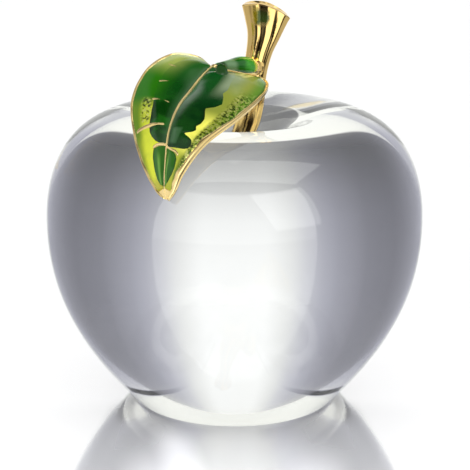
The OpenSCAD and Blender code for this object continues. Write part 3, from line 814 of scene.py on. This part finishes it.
def stem_ring(s, shrink, lift, a):
    """Ring of the stem at share s of its height, with its flutes and its slanted top."""
    q = spline(STEM_PATH, s * 8)[0]
    flare = FLARE_W / (2 * STEM_R * STEM_PATH[-1][2])
    wide = 1 + (flare - 1) * s ** 3
    cut = np.max([depth * bell(wrap(a - at - 5 * (1 - s)), half) for at, half, depth in FLUTES], axis=0)
    cut = FLUTE_DEPTH * min(1, 3 * s) * (0.35 + 0.65 * s) * cut
    fine = sum(depth * bell(wrap(a - at - slope * (s - 0.5)), half) for at, half, depth, slope in MARKS)
    fine = fine * min(1, 4 * s) * (0.5 + 0.5 * s)
    r = shrink * (STEM_R - cut - fine)
    x, y = r * wide * q[2] * np.cos(np.radians(a)), r * q[3] * np.sin(np.radians(a))
    top = math.tan(math.radians(CUT_ANGLE)) * x + CUT_CROWN * (2 * x / FLARE_W) ** 2
    return np.stack([STEM_LEAN * q[1] + x, y, STEM_BASE + STEM_LEN * q[0] + lift - s ** 4 * top], 1)


# Peg from its foot up: radius, height
PEG = [(0.001, PEG_LOW), (PEG_R - 0.3, PEG_LOW), (PEG_R, PEG_LOW + 0.3), (PEG_R, 47), (PEG_R, 50),
       (PEG_R, FLOOR_Z + 0.1)]
# Round lip from the cut's rim inward: share of the ring, height
LIP = [[1, 0], [0.985, 0.1], [0.95, 0.185], [0.9, 0.17], [0.8, 0.06], [0.55, -0.2], [0.22, -0.4],
       [0.02, -0.43]]
# Boss for the leaf, which grows out of the stem with a fillet: radius, distance along the joint's axis
BOSS = [[0.6, 0.6], [2.3, 1.1], [2.1, 1.75], [1.99, 2.3], [1.93, 2.62], [1.9, BOSS_LEN], [0.6, BOSS_LEN]]
BOSS_ANGLE, BOSS_SIDES = 45, 72     # the boss reads the patina and the painted reflection bands at a clear angle


def stem_mesh():
    a = np.linspace(0, 360, 192, endpoint=False)
    rings = [np.array(lathe_rings(PEG, len(a)))]
    rings += [stem_ring(0, 1, -0.7, a)]
    rings += [stem_ring(s, 1, 0, a) for s in np.linspace(0, 1, 170)]
    rings += [stem_ring(1, k, up, a) for k, up in spline(LIP, np.linspace(0, 7, 36)[1:])]
    stalk = np.vstack(rings)
    boss_profile = spline(BOSS, np.linspace(0, 6, 40))
    verts = np.vstack([stalk, joint_rings(boss_profile, BOSS_SIDES)])
    faces = capped_faces(len(stalk) // len(a), len(a))
    faces += shifted(capped_faces(len(boss_profile), BOSS_SIDES), len(stalk))
    angle = np.full(len(verts), float(BOSS_ANGLE))
    angle[:len(stalk)] = np.tile(wrap(a), len(stalk) // len(a))
    share = (verts[:, 2] - STEM_BASE) / STEM_LEN
    return verts, faces, np.stack([share, angle, share * 0], 1)


piece("gilt_stem", "stem", stem_mesh(), STEM_GOLD, sharp=40)

# Solder and adhesive

# Thin ring that bulges a little between the boss and the stalk: radius, distance along the joint's axis
SOLDER_RING = [(0.02, 2.78), (1.85, 2.78), (1.97, 2.8), (2.04, 2.85), (2.07, 2.925), (2.04, 3.0),
               (1.97, 3.05), (1.85, 3.07), (0.02, 3.07)]
TUBE_SIDES = 96


def glue_profile():
    """Sleeve round the peg, with a concave bead at the top."""
    bead = cubic((3.1, FLOOR_Z + 0.02), (2.55, FLOOR_Z + 0.04), (2.26, FLOOR_Z + 0.2),
                 (PEG_R, FLOOR_Z + 0.45), np.linspace(0, 1, 12))
    return [(0.02, BORE_LOW), (BORE_R, BORE_LOW), (BORE_R, FLOOR_Z), *bead, (PEG_R, PEG_LOW), (0.02, PEG_LOW)]


def tube(rings):
    return rings, capped_faces(len(rings) // TUBE_SIDES, TUBE_SIDES)


solder = tube(joint_rings(SOLDER_RING, TUBE_SIDES))
piece("solder_ring", "leaf_solder", solder, SOLDER)
glue = tube(lathe_rings(glue_profile(), TUBE_SIDES))
piece("adhesive_sleeve", "stem_adhesive", glue, GLUE, sharp=30)

# Stage

FLOOR_HALF, FLOOR_DROP = 6.0, 0.00005
FLOOR_COLOUR, FLOOR_DIM, FLOOR_DARK = (0.62, 0.62, 0.64), (0.13, 0.13, 0.12), (0.02, 0.02, 0.02)
FLOOR_GLOW, FLOOR_BLUR = 0.46, 0.07
# Share of mirror in the floor against the cosine of the angle of incidence, and the same for reflected rays
FLOOR_MIRROR = [(0.0, 1.0), (0.05, 1.0), (0.17, 0.94), (0.28, 0.86), (0.38, 0.7), (0.47, 0.5), (0.62, 0.25),
                (1.0, 0.05)]
BOUNCED_MIRROR = [(0.0, 1.0), (0.3, 0.85), (0.48, 0.8), (0.66, 0.45), (0.8, 0.22), (1.0, 0.1)]
# Brightness of the floor in polished metal against the bearing
FLOOR_BANDS = [(-180, 0.8), (-150, 0.5), (-110, 0.28), (-80, 0.3), (-60, 0.22), (-48, 0.12), (-40, 0.02),
               (-6, 0.01), (2, 1.0), (40, 1.0), (46, 0.5), (52, 0.02), (68, 0.02), (76, 0.3), (130, 0.3),
               (155, 0.5), (180, 0.8)]
BAND_LEVEL = 1.9
# Painted shadow round the apple: share of the floor's glow and of its mirror that is lost near it, against
# the distance in millimetres
GLOW_PAINTED_SHADOW, GLOW_LOST = [(0, 1.0), (22, 1.0), (30, 0.4), (45, 0.0)], 0.5
SHADE, SHADE_LOST = [(0, 1.0), (21.5, 1.0), (26, 0.6), (34, 0.3), (55, 0.0)], 0.26
# Pool of light that the glass shows under the apple, in millimetres: where its sides, back and front fade
POOL_SIDE, POOL_BACK, POOL_FRONT = (85, 45), (47.5, 45.5), (-34, -28)
POOL_COLOUR, POOL_LEVEL = (0.99, 1.0, 0.92), 0.95
# Painted light and shade in front of the apple that only the camera sees, in millimetres: a pale streak and
# pale fades, and dark fringes and a dark core in the apple's reflection. The streak and the fringes lie along
# lines that pass X at MARK_START and lean outward by LEAN for each millimetre ahead of it.
MARK_START = -23.3
STREAK_X, STREAK_LEAN, STREAK, STREAK_LEVEL = -13.5, 0.182, (-3.0, 3.0, 3.0), 0.9
FRINGE_X, FRINGE_LEAN, FRINGE, FRINGE_LOST = 26.3, 0.13, (-1.8, 1.6, 1.8), 0.24
FADE_SIDE, FADE_AHEAD, FADE_LEVEL = (11, 21, 4), (-90, -40, 16), 0.9
CORE_SIDE, CORE_LOST = (11, 5), 0.17


def painted_floor_light_and_shade(g, x, y, camera):
    """Light that the floor adds for the camera, an even glow dimmed by a painted shadow near the apple plus
    painted light, and share of its mirror that is lost there to painted shade.
    """
    across = g.math("ABSOLUTE", x)
    ahead = g.math("SUBTRACT", MARK_START, y)
    reach = g.math("SQRT", g.add(g.mul(x, x), g.mul(y, y)))
    # Painted light: a pale streak in the apple's reflection on the floor
    painted_light_streak = g.math("SUBTRACT", g.math("SUBTRACT", x, STREAK_X), g.mul(ahead, STREAK_LEAN))
    painted_light_streak = g.mul(g.span(painted_light_streak, *STREAK), g.step(-17, -32, y), g.step(-60, -45, y), camera)
    # Painted light: pale bands on both sides ahead of the apple
    painted_fade_light = g.mul(g.span(y, *FADE_AHEAD), g.span(across, *FADE_SIDE), camera)
    # Painted shade: dark fringes at the sides of the apple's reflection
    painted_fringe_shade = g.math("SUBTRACT", g.math("SUBTRACT", across, FRINGE_X), g.mul(ahead, FRINGE_LEAN))
    painted_fringe_shade = g.mul(g.span(painted_fringe_shade, *FRINGE), g.step(-4, -14, y), g.step(-70, -50, y), camera)
    # Painted shade: a darker core in the apple's reflection
    painted_core_shade = g.mul(g.step(*CORE_SIDE, across), g.step(-15, -24, y), g.step(-90, -50, y), camera)
    # Painted shadow of the apple on the mirror in front of it
    shade = g.mul(g.curve(reach, SHADE), g.step(-4, -16, y), camera)
    # Even glow of the floor, dimmed near the apple by a painted shadow
    glow = g.mul(camera, FLOOR_GLOW, g.inverse(g.mul(g.curve(reach, GLOW_PAINTED_SHADOW), GLOW_LOST)))
    light = g.add(glow, g.add(g.mul(painted_light_streak, STREAK_LEVEL), g.mul(painted_fade_light, FADE_LEVEL)))
    lost = g.add(g.mul(shade, SHADE_LOST), g.add(g.mul(painted_fringe_shade, FRINGE_LOST), g.mul(painted_core_shade, CORE_LOST)))
    return light, lost


def floor_material():
    """Pale gloss floor: a matt body with added light, under a mirror that grows toward grazing angles."""
    mat = bpy.data.materials.new("pale_floor")
    mat.use_nodes = True
    mat.node_tree.nodes.clear()
    g = Graph(mat.node_tree)
    path = g.new("LightPath").outputs
    camera, inside = path["Is Camera Ray"], path["Is Transmission Ray"]
    place = g.split(object_coords(g))
    x, y = (g.math("DIVIDE", place[k], MM) for k in (0, 1))
    # Rays from a reflection that went through no glass before; those from metal and enamel aren't singular
    reflected = g.mul(path["Is Glossy Ray"], g.math("LESS_THAN", path["Transmission Depth"], 0.5))
    metal = g.mul(reflected, g.inverse(path["Is Singular Ray"]))
    aside = g.step(*POOL_SIDE, g.math("ABSOLUTE", x))
    pool = g.mul(g.step(*POOL_BACK, y), g.step(*POOL_FRONT, y), aside, inside)
    # Painted light and painted shade of the floor, for the camera only
    light, lost = painted_floor_light_and_shade(g, x, y, camera)
    bands = g.mul(g.curve(g.bearing(x, y), FLOOR_BANDS), BAND_LEVEL, metal)

    cosine = g.inverse(g.new("LayerWeight", Blend=0.5).outputs["Facing"])
    mirror = g.mix(reflected, g.curve(cosine, FLOOR_MIRROR), g.curve(cosine, BOUNCED_MIRROR))
    mirror = g.mix(pool, mirror, FLOOR_DARK)
    mirror = g.mix(metal, mirror, (0.0, 0.0, 0.0))

    colour = g.mix(metal, g.mix(inside, FLOOR_COLOUR, FLOOR_DIM), FLOOR_DARK)
    diffuse = g.new("BsdfDiffuse", Color=colour)
    glow = g.new("Emission", Color=g.mix(pool, (1.0, 1.0, 1.0), POOL_COLOUR),
                 Strength=g.add(light, g.add(g.mul(pool, POOL_LEVEL), bands)))
    # The mirror loses the painted shade
    gloss = g.new("BsdfGlossy", Color=g.inverse(lost), Roughness=g.mul(g.inverse(inside), FLOOR_BLUR))
    body = g.new("AddShader")
    both = g.new("MixShader", Fac=mirror)
    g.links.new(diffuse.outputs[0], body.inputs[0])
    g.links.new(glow.outputs[0], body.inputs[1])
    g.links.new(body.outputs[0], both.inputs[1])
    g.links.new(gloss.outputs[0], both.inputs[2])
    g.new("OutputMaterial", Surface=both.outputs[0])
    return mat


def floor_object():
    mesh = bpy.data.meshes.new("floor")
    corners = [(-1, -1), (1, -1), (1, 1), (-1, 1)]
    mesh.from_pydata([(FLOOR_HALF * i, FLOOR_HALF * j, -FLOOR_DROP) for i, j in corners], [], [(0, 1, 2, 3)])
    mesh.materials.append(floor_material())
    obj = bpy.data.objects.new("floor", mesh)
    bpy.context.scene.collection.objects.link(obj)


floor_object()

# World

# Angles are in degrees. The bearing is 0 in front and positive on the right; the turn is 0 straight behind.
# Brightness against the turn: seen through the glass, mirrored on its outside, and mirrored in polished metal
BACK = [(0, 1.0), (6, 1.0), (8, 0.93), (11, 0.8), (14, 0.63), (18, 0.48), (22, 0.38), (26, 0.32), (31, 0.25),
        (36, 0.225), (44, 0.2), (50, 0.22), (57, 0.27), (64, 0.34), (75, 0.42), (90, 0.46), (140, 0.5),
        (170, 1.0), (180, 1.0)]
WIDE = [(0, 1.0), (14, 1.0), (24, 0.5), (40, 0.25), (60, 0.25), (90, 0.3), (180, 0.3)]
METAL_BACK = [(0, 1.0), (20, 1.0), (34, 0.25), (60, 0.25), (82, 0.9), (180, 0.95)]
# Brightness of the front half of the studio through the glass against height
CREAM = (1.0, 1.0, 0.95)
FRONT = [(0, 0.36), (20, 0.42), (38, 0.6), (46, 0.85), (49, CREAM), (90, CREAM)]
# Dark strip in front, which slopes with the turn: low edge, high edge and softness of its turn and height
STRIP_TURN, STRIP_HEIGHT = (127, 143, 1.5), (42.5, 46.5, 0.7)
STRIP_SLOPE, STRIP_MIDDLE, STRIP_DEPTH = 0.45, 132, 0.97
# Softboxes that only reflections see: a wide wall in front, a window on its right and one overhead
WALL, WINDOW, OVERHEAD = 2.3, 1.7, 1.8
WALL_TURN, WALL_TOP = (130.5, 131.5), (48, 42)
WALL_BOUNCED = [(0, 0.72), (16, 0.76), (32, 1.15), (46, 1.48), (60, 2.0), (90, 2.0)]
WINDOW_LEFT, WINDOW_RIGHT, WINDOW_SLANT, WINDOW_HEIGHT = (10.2, 11.8), (53.8, 52.2), 0.36, (9, 46, 1.0)
OVER_X, OVER_Y = (-0.7, 0.66, 0.02), (-0.52, 0.13, 0.02)
# Lamps in polished metal: bearing and height, each with its low edge, high edge and softness, and strength
LAMPS = [((146, 155, 3), (37, 50, 4), 1.2), ((-131, -112, 3), (43, 54, 3), 0.4),
         ((8, 40, 1.5), (12, 50, 2.0), 1.3)]
CEILING_BACK, CEILING_FRONT = (0.03, 0.03, 0.03), (0.5, 0.5, 0.48)
COOL, WARM, WHITE = (0.95, 0.96, 1.1), (0.985, 1.0, 0.985), (1.0, 1.0, 1.0)


def softboxes(g, x, y, z, bearing, turn, height, path):
    """Light of the softboxes; a ray that was reflected before sees the wall as the floor mirrors it."""
    again = g.math("GREATER_THAN", path["Glossy Depth"], 1.5)
    wall = g.mix(again, g.step(*WALL_TOP, height), g.curve(height, WALL_BOUNCED))
    wall = g.mul(g.step(*WALL_TURN, turn), wall, WALL)
    slant = g.math("SUBTRACT", bearing, g.mul(g.math("SUBTRACT", WINDOW_HEIGHT[1], height), WINDOW_SLANT))
    window = g.mul(g.step(*WINDOW_LEFT, slant), g.step(*WINDOW_RIGHT, bearing))
    window = g.mul(window, g.span(height, *WINDOW_HEIGHT), g.inverse(again), WINDOW)
    up = g.math("MAXIMUM", z, 0.02)
    over = g.mul(g.span(g.math("DIVIDE", x, up), *OVER_X), g.span(g.math("DIVIDE", y, up), *OVER_Y), OVERHEAD)
    return g.add(g.add(wall, window), over)


def metal_room(g, bearing, turn, height):
    """Darker room with a pale backdrop and small lamps, for polished metal and enamel."""
    ceiling = g.mix(g.step(95, 60, turn), CEILING_FRONT, CEILING_BACK)
    room = g.mix(g.step(40, 52, height), g.curve(turn, METAL_BACK), ceiling)
    lamps = 0.0
    for side, rise, strength in LAMPS:
        lamps = g.add(lamps, g.mul(g.span(bearing, *side), g.span(height, *rise), strength))
    return g.plus(room, lamps)


def glass_room(g, turn, height):
    """Pale backdrop with grey flanks, and the front half of the studio, as seen through the glass."""
    slope = g.mul(g.math("SUBTRACT", turn, STRIP_MIDDLE), STRIP_SLOPE)
    strip = g.mul(g.span(turn, *STRIP_TURN), g.span(g.add(height, slope), *STRIP_HEIGHT))
    front = g.scale(g.curve(height, FRONT), g.inverse(g.mul(strip, STRIP_DEPTH)))
    return g.mix(g.step(85, 105, turn), g.curve(turn, BACK), front)


def build_world():
    """Plain white for the camera and for diffuse light, and the studio for reflections and through glass."""
    world = bpy.data.worlds.new("studio")
    bpy.context.scene.world = world
    world.use_nodes = True
    g = Graph(world.node_tree)
    x, y, z = g.split(g.new("TexCoord").outputs["Generated"])
    path = g.new("LightPath").outputs
    bearing = g.bearing(x, y)
    turn = g.math("SUBTRACT", 180.0, g.math("ABSOLUTE", bearing))
    height = g.mul(g.math("ARCSINE", z), DEGREES)
    first = g.math("LESS_THAN", path["Transmission Depth"], 0.5)
    once = g.math("LESS_THAN", path["Glossy Depth"], 1.5)
    metal = g.mul(g.inverse(path["Is Singular Ray"]), first, once, path["Is Glossy Ray"])

    boxes = g.mul(softboxes(g, x, y, z, bearing, turn, height, path), first)
    reflected = g.plus(g.mix(first, g.curve(turn, BACK), g.curve(turn, WIDE)), boxes)
    studio = g.mix(path["Is Transmission Ray"], reflected, glass_room(g, turn, height))
    grey = g.new("RGBToBW", Color=studio).outputs[0]
    tint = g.mix(g.step(0.38, 0.88, grey), COOL, WARM)
    studio = g.mix(metal, g.scale(studio, tint), metal_room(g, bearing, turn, height))
    plain = g.mix(path["Is Diffuse Ray"], studio, WHITE)
    g.fill(g.nodes["Background"], Color=g.mix(path["Is Camera Ray"], plain, WHITE), Strength=1)


build_world()

# Camera

cam_data = bpy.data.cameras.new("camera")
cam = bpy.data.objects.new("camera", cam_data)
bpy.context.scene.collection.objects.link(cam)
DISTANCE, RISE, AIM = 361 * MM, math.radians(16.4), 33.3 * MM
SENSOR, PHOTO_PIXELS, FOCAL_PIXELS = 36, 470, 1678.6
cam.location = (0, -DISTANCE * math.cos(RISE), AIM + DISTANCE * math.sin(RISE))
cam.rotation_euler = (math.pi / 2 - RISE, 0, 0)
cam_data.sensor_width = SENSOR
cam_data.lens = FOCAL_PIXELS / PHOTO_PIXELS * SENSOR
cam_data.shift_x = 0.0009
cam_data.shift_y = 0.02
cam_data.clip_start = 0.01
bpy.context.scene.camera = cam

bpy.context.scene.view_settings.view_transform = "Standard"
